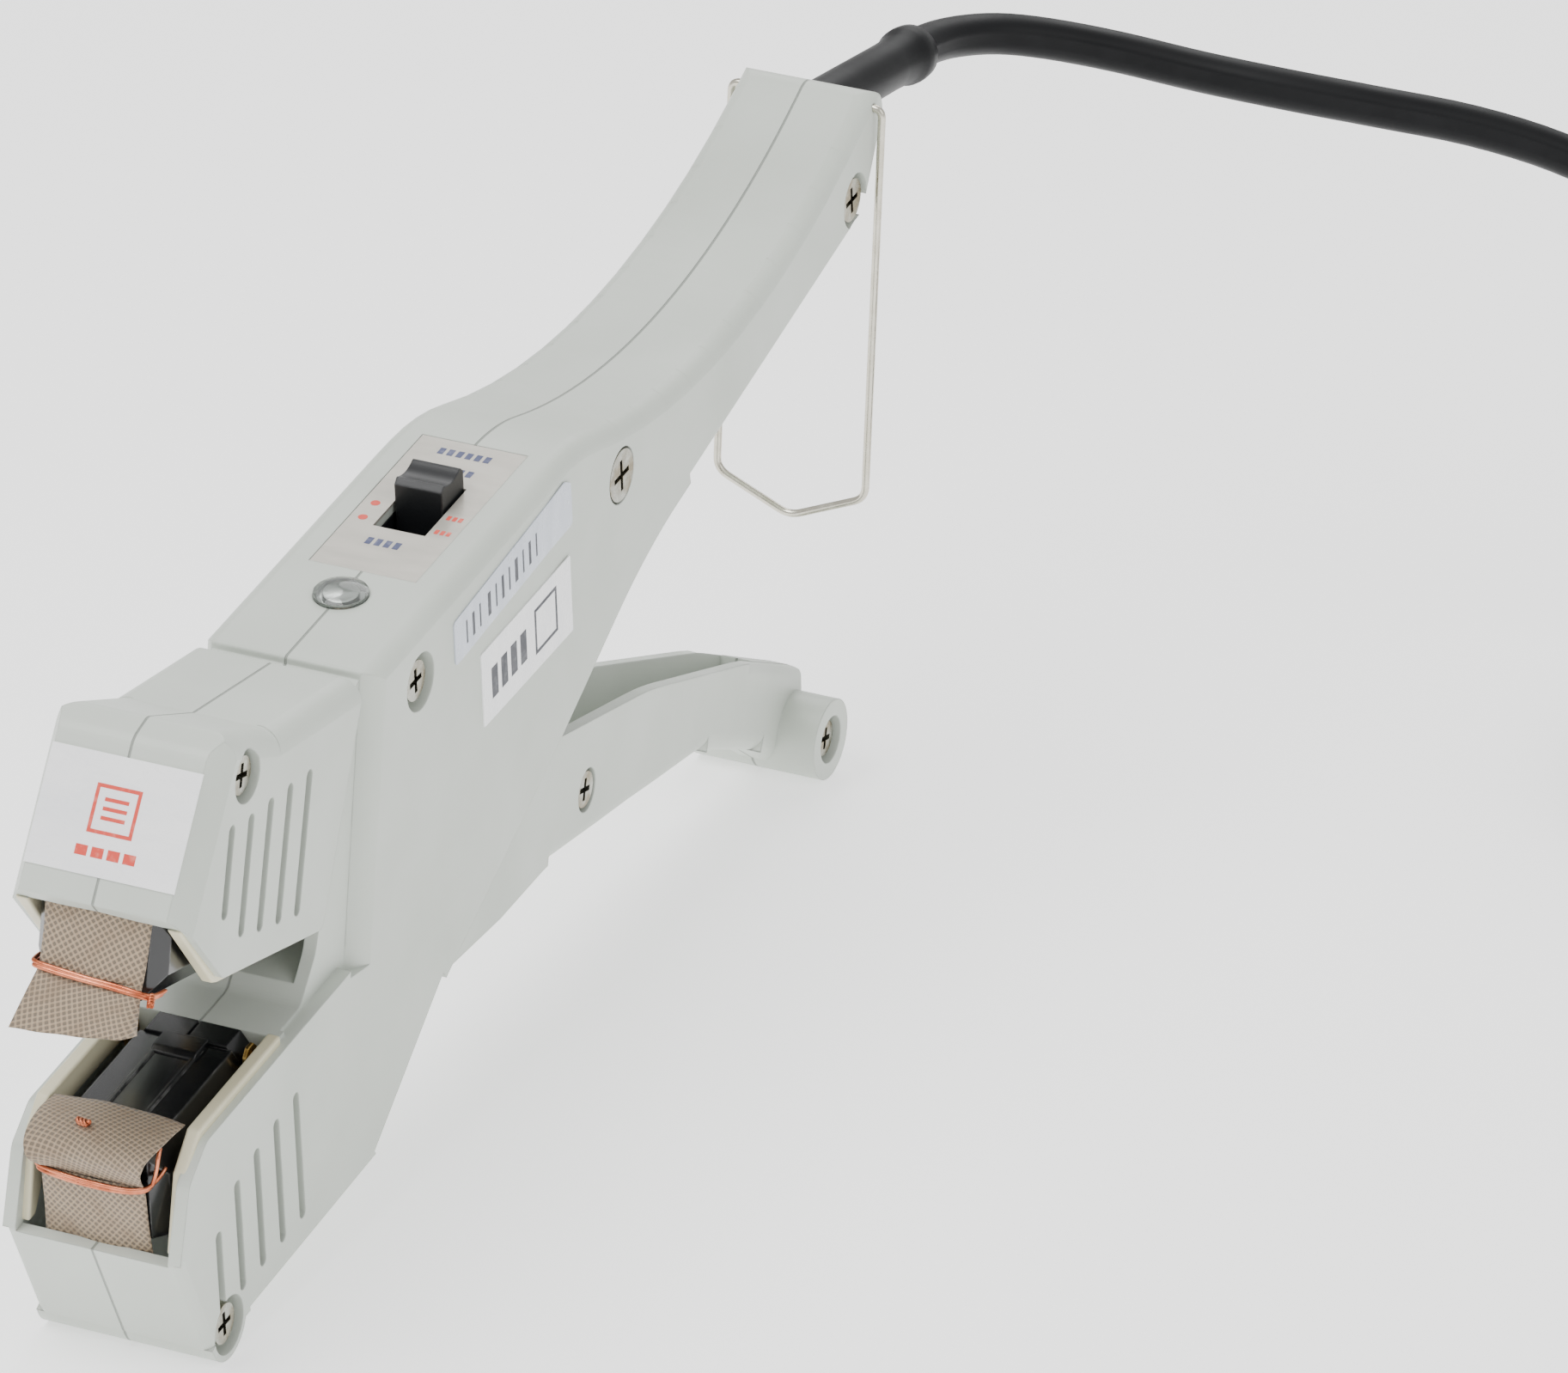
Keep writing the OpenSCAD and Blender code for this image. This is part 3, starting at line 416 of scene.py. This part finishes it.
def plates(name, place, outlines, heights, look, body, slot, bevel=0.0):
    """Flat plates: outlines in the frame's own XY, between two heights."""
    low, high = sorted(heights)
    points, faces = [], []
    for outline in outlines:
        n, first = len(outline), len(points)
        points += [(x, y, low) for x, y in outline] + [(x, y, high) for x, y in outline]
        faces.append(tuple(first + n - 1 - k for k in range(n)))
        faces.append(tuple(first + n + k for k in range(n)))
        faces += [(first + k, first + (k + 1) % n, first + n + (k + 1) % n, first + n + k)
                  for k in range(n)]
    obj = add_mesh(name, place, points, faces, look, body, slot, smooth=False)
    if bevel:
        mod = obj.modifiers.new("soft", "BEVEL")
        mod.width = bevel * MM
        mod.segments = 3
    return obj


def turned(name, place, start, axis, profile, look, body, slot, sides=40, lobes=None):
    """A solid of revolution from (distance, radius) pairs along an axis. lobes(spoke, i) scales the
    radius of one spoke of the profile's point i."""
    line = [start + axis * distance for distance, _ in profile]
    ring = circle(1, sides)

    def section(i, _):
        radii = [profile[i][1] * (lobes(spoke, i) if lobes else 1) for spoke in range(sides)]
        return [(a * r, b * r) for (a, b), r in zip(ring, radii)]
    return add_mesh(name, place, *sweep([line], section), look, body, slot)


def both_sides():
    """The sign of X and the ending of the name, for the left and the right side."""
    return (-1, "left"), (1, "right")


# ---- the cord ----

CORD_D = 8.6
COIL_X, COIL_Y, COIL_R = 201, 206, 43
ROUTE = [
    (0, 183, 134.5), (0.5, 192, 133.8), (3, 201, 132.8), (8.5, 210, 131.4), (17, 217, 129.5),
    (30, 223, 127), (47, 228, 124), (65, 232, 122), (82, 238, 119.5), (100, 246, 116),
    (117, 252.5, 111), (133, 257, 104), (147, 260, 94), (158, 261.5, 81), (166, 262, 66),
    (173.5, 262, 50), (183, 260.5, 36), (197, 256, 26),
]
TAIL = [(257.5, 196, 5), (257.5, 187, 7.4), (257.5, 178, 10.4), (257.5, 169, 12.8), (257.5, 161, 13.5),
        (257.5, 152, 13.5)]
# The slots that the turns fill from the top down, as (radius, height)
INNER, OUTER = COIL_R - CORD_D / 2, COIL_R + CORD_D / 2
SLOTS = [(COIL_R, 20.35), (OUTER, 12.9), (INNER, 12.9), (INNER, 4.3), (OUTER, 4.3)]
# Degrees: where the coil starts, what it turns in a slot, and how long it takes to change slots
COIL_START, SLOT_TURN, SLOT_CHANGE = 68, 288, 72
COIL_TURN = SLOT_TURN * len(SLOTS)
# The last turn widens by so much over so many degrees, to leave for the plug
LEAVE_BY, LEAVE_OVER = 9.2, 80
COIL_STEP, COIL_STOP = 26, 1509


def ease(f):
    """A smooth step from 0 to 1."""
    return (1 - math.cos(math.pi * min(1, max(0, f)))) / 2


def coil_point(theta):
    r, z = SLOTS[0]
    for k in range(1, len(SLOTS)):
        f = ease((theta - (SLOT_TURN * k - SLOT_CHANGE / 2)) / SLOT_CHANGE)
        r += (SLOTS[k][0] - SLOTS[k - 1][0]) * f
        z += (SLOTS[k][1] - SLOTS[k - 1][1]) * f
    r += LEAVE_BY * ease((theta - COIL_TURN) / LEAVE_OVER)
    phi = math.radians(COIL_START - theta)
    return (COIL_X + r * math.cos(phi), COIL_Y + r * math.sin(phi), z)


coil = [coil_point(theta) for theta in range(0, COIL_STOP, COIL_STEP)]
cord_line = curve_through(ROUTE + coil + TAIL, 4)

# The cord's outline: round, with a shallow groove along each side where its cores meet
GROOVE_DEPTH, GROOVE_WIDTH = 0.62, 0.2
cord_ring = []
for a, b in circle(1, 24):
    radius = CORD_D / 2 - GROOVE_DEPTH * math.exp(-((b / GROOVE_WIDTH) ** 2))
    cord_ring.append((radius * a, radius * b))

cord_mesh = sweep([cord_line], lambda *_: cord_ring)
cord = add_mesh("cord_lead", WORLD, *cord_mesh, rubber, "body", "cord_rubber")
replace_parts(cord, "cord", "cord_coil")

# The guard leaves the handle's end with a slight drop
EXIT_DROP = math.radians(14)
exit_axis = Vector((0, math.cos(EXIT_DROP), -math.sin(EXIT_DROP)))
exit_foot = Vector((0, 312, 96.5))
GUARD = [(-2.5, 5.3), (2, 5.3), (9, 5.25), (30, 5.15), (40, 5.1), (47, 5.3), (48.5, 6.0), (50.5, 6.1),
         (53, 5.9), (54, 5.0)]
guard = turned("strain_relief", TOOL, exit_foot, exit_axis, GUARD, rubber, "body", "guard_rubber")
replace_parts(guard, "cord_guard")

# The plug's moulding, then its ribbed sleeve
MOULDING = [(0, 11.6), (0.5, 13.0), (2, 13.4), (7, 13.2), (12, 11.7), (17, 10.8), (21, 10.6), (24, 9.6),
            (26, 7.2), (27, 6.4)]
SLEEVE = [(27.5 + 1.6 * k, 6.3 - 0.07 * k - (0.75 if k % 2 else 0)) for k in range(16)] + [(53.5, 4.6)]
PLUG_AT = Vector((257.5, 109, 13.5))
PLUG_SIDES = 40
LAST_FLAT = 7


def plug_flats(spoke, i):
    """Flattens the moulding a little on two opposite sides."""
    return 1 if i > LAST_FLAT else 1 - 0.05 * abs(math.cos(2 * math.pi * spoke / PLUG_SIDES)) ** 4


plug = turned("plug_moulding", WORLD, PLUG_AT, Vector((0, 1, 0)), MOULDING + SLEEVE, rubber, "body",
              "plug_rubber", PLUG_SIDES, plug_flats)
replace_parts(plug, "plug_body")

# The strap round the coil: its outline in the radial plane, as (from the coil's middle line, height)
STRAP_TURN = math.radians(320)
STRAP_THICK, STRAP_HALF_WIDTH = 0.9, 4.5
SPAN = 9.3  # from the coil's middle line to the strap's outside
STRAP = [(-SPAN, 4), (0.9 - SPAN, 1.2), (3 - SPAN, 0.25), (SPAN - 3, 0.25), (SPAN - 0.9, 1.2), (SPAN, 4),
         (SPAN, 14), (5.6, 22.2), (0, 25), (-5.6, 22.2), (-SPAN, 14)]
STRAP_MIDDLE = Vector((COIL_R, 0, 11))


def strap_mesh():
    loop = curve_through([(COIL_R + x, 0, z) for x, z in STRAP + STRAP[:1]], 4)[:-1]
    points, faces = [], []
    for p in loop:
        inward = (STRAP_MIDDLE - p).normalized() * STRAP_THICK
        for edge, depth in ((-1, 1), (1, 1), (1, 0), (-1, 0)):
            points.append(p + inward * depth + Vector((0, STRAP_HALF_WIDTH * edge, 0)))
    n = len(loop)
    for i in range(n):
        j = (i + 1) % n
        faces += [(4 * i + k, 4 * i + (k + 1) % 4, 4 * j + (k + 1) % 4, 4 * j + k) for k in range(4)]
    return points, faces


strap_at = WORLD @ Matrix.Translation((COIL_X, COIL_Y, 0)) @ Matrix.Rotation(STRAP_TURN, 4, "Z")
coil_strap = add_mesh("coil_strap", strap_at, *strap_mesh(), strap, "body", "strap")
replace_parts(coil_strap, "coil_tie")


# ---- the latch wire ----

LATCH_R, LATCH_BEND = 0.8, 2.6
LATCH_X, LATCH_DROP, LATCH_TIP = 16.4, -84, -91
LATCH_HOOK = LATCH_X - 4.5
LATCH_LINE = [(LATCH_HOOK, 0, 0), (LATCH_X, 0, 0), (LATCH_X, 0, LATCH_DROP), (0, 0, LATCH_TIP),
              (-LATCH_X, 0, LATCH_DROP), (-LATCH_X, 0, 0), (-LATCH_HOOK, 0, 0)]
latch_at = TOOL @ Matrix.Translation((0, 311.7, 100.5)) @ Matrix.Rotation(math.radians(-9), 4, "X")


def rounded_line(points, radius, steps=6):
    """A line through points with its corners rounded."""
    pts = [Vector(p) for p in points]
    out = [pts[0]]
    for a, b, c in zip(pts, pts[1:], pts[2:]):
        reach = min(radius, (a - b).length * 0.45, (c - b).length * 0.45)
        p, q = b + (a - b).normalized() * reach, b + (c - b).normalized() * reach
        out += [p.lerp(b, k / steps).lerp(b.lerp(q, k / steps), k / steps) for k in range(steps + 1)]
    return out + [pts[-1]]


latch_ring = circle(LATCH_R, 16)
latch_mesh = sweep([rounded_line(LATCH_LINE, LATCH_BEND)], lambda *_: latch_ring)
latch = add_mesh("latch_bail", latch_at, *latch_mesh, nickel, "latch", "wire")
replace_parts(latch, "latch_wire")


# ---- cream lips inside the jaws ----

LOWER_LIP = [(-8.8, 30.8), (-4.6, 45.9), (1.9, 51.7), (34.8, 51.7), (34.8, 45.8), (4.1, 45.8),
             (-6.2, 30.8)]
UPPER_LIP = [(2.9, 66.1), (19.3, 52.8), (21, 52.5), (45.7, 52.2), (45.7, 55.2), (21.1, 56.2),
             (7.4, 67.6)]
LIP_X = (13.85, 16.5)
for sign, ending in both_sides():
    lip_x = [sign * x for x in LIP_X]
    plates("lower_lip_" + ending, TOOL @ SIDE, [LOWER_LIP], lip_x, cream, "body", "shell", 0.5)
    plates("upper_lip_" + ending, ARM @ SIDE, [UPPER_LIP], lip_x, cream_arm, "arm", "shell", 0.5)


# ---- the lower bar's stepped end, and the block and brass lugs at the back of the bars ----

STEP = [(23.4, 49.9), (29.6, 49.9), (29.6, 51.2), (24.6, 51.2), (23.4, 50.5)]
REAR_BLOCK = [(44.6, 54), (58, 53.7), (61.4, 56), (61.4, 64), (44.6, 64)]
plates("lower_bar_step", TOOL @ SIDE, [STEP], (-4.5, 4.5), phenolic, "body", "heater_bar", 0.25)
plates("upper_rear_block", ARM @ SIDE, [REAR_BLOCK], (-11.8, 11.8), phenolic, "arm", "insulator", 0.5)

LUG = [(28.4, 42), (33.2, 42), (33.2, 49.4), (31.8, 51.0), (29.8, 51.0), (28.4, 49.4)]
LUG_X = (11.62, 12.5)
LOWER_HEAD = [(0, 2.0), (0.7, 2.0), (1.0, 1.5)]
UPPER_HEAD = [(-0.6, 1.9), (0.35, 1.9), (0.7, 1.4)]
HEAD_SIDES = 20
for sign, ending in both_sides():
    lug_x = [sign * x for x in LUG_X]
    plates("lower_lug_" + ending, TOOL @ SIDE, [LUG], lug_x, brass, "body", "brass", 0.2)
    turned("lower_lug_screw_" + ending, TOOL, Vector((sign * 12.4, 30.8, 47.6)), Vector((sign, 0, 0)),
           LOWER_HEAD, brass, "body", "brass", HEAD_SIDES)
    turned("upper_lug_screw_" + ending, ARM, Vector((sign * 9.4, 58.2, 54.2)), -UP,
           UPPER_HEAD, brass, "arm", "brass", HEAD_SIDES)


# ---- release cloths and their copper ties ----

HALF = 10.75  # of the cloths' flat width
CLOTH_THICK = 0.32
# The (y, z) where each flap leaves its tie
UPPER_ROOT, LOWER_ROOT = (2.8, 54.6), (-9.0, 44.4)


def cloth_sheet(name, place, profile, width, look, body, shape, across=18, steps=5):
    """A strip of cloth and its length. profile is its (y, z) line and width(t) its half width at the
    share t of the length; shape(point, u, t) moves a point, where u runs from -1 to 1 across."""
    line = curve_through([(0, y, z) for y, z in profile], steps)
    total = sum((b - a).length for a, b in zip(line, line[1:]))
    points, faces, uvs = [], [], []
    run = 0.0
    for i, p in enumerate(line):
        run += (p - line[i - 1]).length if i else 0
        t = run / total
        for k in range(across + 1):
            u = 2 * k / across - 1
            points.append(shape(Vector((u * width(t), p.y, p.z)), u, t))
            uvs.append((u * width(0) * MM, run * MM))
    for i in range(len(line) - 1):
        for k in range(across):
            a = i * (across + 1) + k
            faces.append((a, a + 1, a + across + 2, a + across + 1))
    obj = add_mesh(name, place, points, faces, look, body, "release_cloth", uvs=uvs)
    mod = obj.modifiers.new("thick", "SOLIDIFY")
    mod.thickness = CLOTH_THICK * MM
    mod.offset = 0
    return obj, total


def strip_shape(q, u, t):
    """Bows the middle of a strip out, with faint waves."""
    bow = 0.45 * (1 - u * u) + 0.12 * math.sin(5 * u + 7 * t)
    return q + Vector((0, -bow, 0))


def upper_flap_shape(q, u, t):
    """Leans the flap forward and left, waves it, drops its left end and folds its right edge back."""
    fold = max(0.0, u - 0.82) / 0.18
    left = abs(u) if u < 0 else 0
    forward = math.cos(1.4 * u) + 0.25 * math.sin(9 * u)
    rise = 0.8 * u - 0.55 * (1 - u)
    return q + t * Vector((-1.2 * left - 0.8 * fold, 3.4 * fold - forward, rise))


def lower_flap_shape(q, u, t):
    """Pulls the flap's corners out, the left one most, waves it and lets its rear edge sag."""
    corner = abs(u) ** 3 * math.sin(math.pi * min(1, 1.5 * t))
    wave = 0.35 * math.sin(7 * u + 3 * t) * t
    out = 2.9 * corner * (1.0 if u < 0 else 0.3)
    lift = -1.6 * u ** 2 * max(0, t - 0.35)
    return q + Vector((0, -out - 0.3 * wave, lift + wave * 0.5))


upper_strip, upper_strip_long = cloth_sheet(
    "upper_cloth_strip", ARM, [(4.1, 69.5), (3.9, 66), (3.7, 61), (3.3, 57.5), (2.9, 55.2), UPPER_ROOT],
    lambda t: HALF * (1 - 0.05 * t), cloth, "arm", strip_shape)
upper_flap, upper_flap_long = cloth_sheet(
    "upper_cloth_flap", ARM, [UPPER_ROOT, (1.9, 53.0), (0.4, 50.4), (-1.0, 47.8), (-2.2, 45.4)],
    lambda t: HALF * (0.95 + 0.13 * t), cloth_fine, "arm", upper_flap_shape)
lower_strip, lower_strip_long = cloth_sheet(
    "lower_cloth_strip", TOOL, [(-8.0, 28.5), (-8.3, 33), (-8.6, 38), (-8.8, 42), LOWER_ROOT],
    lambda t: HALF * (1 - 0.04 * t), cloth, "body", strip_shape)
lower_flap, lower_flap_long = cloth_sheet(
    "lower_cloth_flap", TOOL,
    [LOWER_ROOT, (-9.9, 46.6), (-10.6, 48.9), (-9.6, 51.2), (-6.8, 52.4), (-3, 52.9), (2.6, 52.6)],
    lambda t: HALF * (0.96 + 0.26 * ease(1.4 * t)), cloth_fine, "body", lower_flap_shape, across=24)

TIE_R = 0.42


def twist(start, end, turns, spread, count=14):
    """Two wires twisted round each other from start to end."""
    start, end = Vector(start), Vector(end)
    ahead = (end - start).normalized()
    side = ahead.orthogonal().normalized()
    up = ahead.cross(side)
    out = []
    for phase in (0, math.pi):
        angles = [phase + 2 * math.pi * turns * k / count for k in range(count + 1)]
        out.append([start.lerp(end, k / count) + side * spread * math.cos(angle)
                    + up * spread * math.sin(angle) for k, angle in enumerate(angles)])
    return out


def copper_tie(name, place, lines, body, steps=8):
    """Round wires with slightly narrowed ends."""
    ring = circle(TIE_R)
    narrow = [(a * 0.7, b * 0.7) for a, b in ring]
    points, faces = sweep([curve_through(line, steps) for line in lines],
                          lambda i, count: ring if 0 < i < count - 1 else narrow)
    return add_mesh(name, place, points, faces, copper, body, "copper")


upper_wires = [
    [(-12.4, 8, 55.2), (-11.9, 4.2, 55.2), (-10.9, 2.5, 55.1), (-6, 1.75, 54.9), (0, 1.6, 54.5),
     (6, 1.75, 54.2), (10.8, 2.3, 53.6), (12.0, 4.2, 53.2), (12.6, 8, 53.4)],
    [(-12.2, 7, 54.3), (-11.6, 3.8, 54.3), (-10.4, 2.2, 54.4), (-4, 1.5, 54.1), (3, 1.5, 53.8),
     (9, 1.9, 53.3), (11.6, 3.6, 52.7), (12.4, 7, 52.9)],
] + twist((11.9, 3.6, 53.3), (12.9, 1.2, 52.0), turns=2.0, spread=0.32)
lower_wires = [
    [(-12.4, -4, 44.9), (-11.9, -7.4, 44.8), (-10.7, -9.4, 44.6), (-5, -10.1, 44.2), (1, -10.1, 43.9),
     (7, -10.0, 44.0), (10.6, -9.2, 44.6), (11.9, -7.0, 45.4), (12.4, -4, 46.4)],
    [(-12.1, -5, 44.0), (-11.4, -8.2, 43.9), (-9.8, -9.7, 43.8), (-3, -10.2, 43.3), (5, -10.1, 43.3),
     (9.8, -9.5, 43.9), (11.4, -8.2, 44.8), (12.2, -7.6, 47.6), (12.5, -7.0, 50.4), (12.2, -5.4, 51.6)],
] + twist((-4.6, -4.9, 52.9), (-1.6, -6.4, 53.9), turns=1.5, spread=0.4)
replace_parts(copper_tie("upper_copper_tie", ARM, upper_wires, "arm"), "upper_tie")
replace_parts(copper_tie("lower_copper_tie", TOOL, lower_wires, "body"), "lower_tie")
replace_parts(upper_strip, "upper_cloth")
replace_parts(lower_strip, "lower_cloth")


def press(flap):
    """Gives a flap its own copy of its mesh data."""
    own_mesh(flap)


press(upper_flap)
press(lower_flap)


# ---- printed marks on the labels, all generic ----

PRINT = 0.04
DECK_PRINT = 0.03


def bars(count, corner, step, size):
    """A row of count rectangles of one size, each a step from the last."""
    out = []
    for k in range(count):
        x, y = corner[0] + step[0] * k, corner[1] + step[1] * k
        out.append([(x, y), (x + size[0], y), (x + size[0], y + size[1]), (x, y + size[1])])
    return out


def square(x, y, size, line=0.7):
    """The outline of a square, as four thin bars."""
    far, inside = size - line, size - 2 * line
    return (bars(1, (x, y), (0, 0), (size, line)) + bars(1, (x, y + far), (0, 0), (size, line))
            + bars(1, (x, y + line), (0, 0), (line, inside))
            + bars(1, (x + far, y + line), (0, 0), (line, inside)))


def dot(x, y, radius=0.95):
    return [(x + a, y + b) for a, b in circle(radius, 20)]


# The front label leans back over the hood's slope
front_lean = math.atan2(11.0, 28.7)
FRONT = (ARM @ Matrix.Translation((-15, 0.8, 68.3)) @ Matrix.Rotation(-front_lean, 4, "X")
         @ Matrix.Rotation(math.pi / 2, 4, "X"))
front_marks = (square(10.5, 12.6, 9) + bars(3, (12.6, 15.2), (0, 1.7), (4.8, 0.7))
               + bars(4, (9.2, 8.3), (3.2, 0), (2.4, 1.9)))
plates("front_print", FRONT, front_marks, (0.25, 0.25 + PRINT), ink_red, "arm", "paper_label")

BESIDE = TOOL @ SIDE
BESIDE_X = (18.25, 18.25 + PRINT)
SERIAL_START, SERIAL_SLOPE = 114.0, 0.05
SERIAL_LOW, SERIAL_HIGH = 90.3, 95.2


def serial_bars():
    """Bars of mixed widths along the foil label, which slopes up a little."""
    out = []
    x = SERIAL_START
    for k in range(11):
        width = (0.5, 0.9, 0.5, 1.2)[k % 4]
        rise, far_rise = (SERIAL_SLOPE * (end - SERIAL_START) for end in (x, x + width))
        out.append([(x, SERIAL_LOW + rise), (x + width, SERIAL_LOW + far_rise),
                    (x + width, SERIAL_HIGH + far_rise), (x, SERIAL_HIGH + rise)])
        x += 3.6 if k == 2 else width + 2.2
    return out


plates("serial_print", BESIDE, serial_bars(), BESIDE_X, ink_dark, "body", "foil_label")
rating = bars(4, (123.5, 72.6), (4.2, 0), (2.6, 6.6)) + square(142.5, 71.2, 9.8)
plates("rating_print", BESIDE, rating, BESIDE_X, ink_dark, "body", "paper_label")

DECK = TOOL @ Matrix.Translation((0, 0, 104.9))
red_marks = ([dot(-8.4, 131.6), dot(-8.4, 126.2)] + bars(3, (6.4, 130.9), (1.2, 0), (0.8, 1.5))
             + bars(3, (6.4, 125.6), (1.2, 0), (0.8, 1.5)))
blue_marks = (bars(4, (-4.2, 117.8), (1.9, 0), (1.2, 2.4)) + bars(5, (-4.6, 146.2), (1.9, 0), (1.2, 2.2))
              + bars(6, (-5.6, 152.2), (1.9, 0), (1.2, 2.2)))
plates("plate_red_print", DECK, red_marks, (0, DECK_PRINT), ink_red, "body", "switch_plate")
plates("plate_blue_print", DECK, blue_marks, (0, DECK_PRINT), ink_blue, "body", "switch_plate")


# ---- floor, with a faint glow that keeps it pale ----

FLOOR_HALF = 12  # metres
GLOW = 0.85


def floor_look():
    n = Nodes("floor", Emission_Color=(1, 1, 1, 1), Emission_Strength=GLOW)
    at = n.place()
    n.set("Base Color", n.mix(n.noise(at, scale=6, detail=4), (0.86, 0.86, 0.855, 1), (0.9, 0.9, 0.9, 1)))
    n.roughness(at, 30, 0.5, 0.6)
    return n.material


floor_data = bpy.data.meshes.new("floor")
corners = [(-FLOOR_HALF, -FLOOR_HALF, 0), (FLOOR_HALF, -FLOOR_HALF, 0),
           (FLOOR_HALF, FLOOR_HALF, 0), (-FLOOR_HALF, FLOOR_HALF, 0)]
floor_data.from_pydata(corners, [], [(0, 1, 2, 3)])
floor_data.materials.append(floor_look())
place_in_scene(bpy.data.objects.new("floor", floor_data))
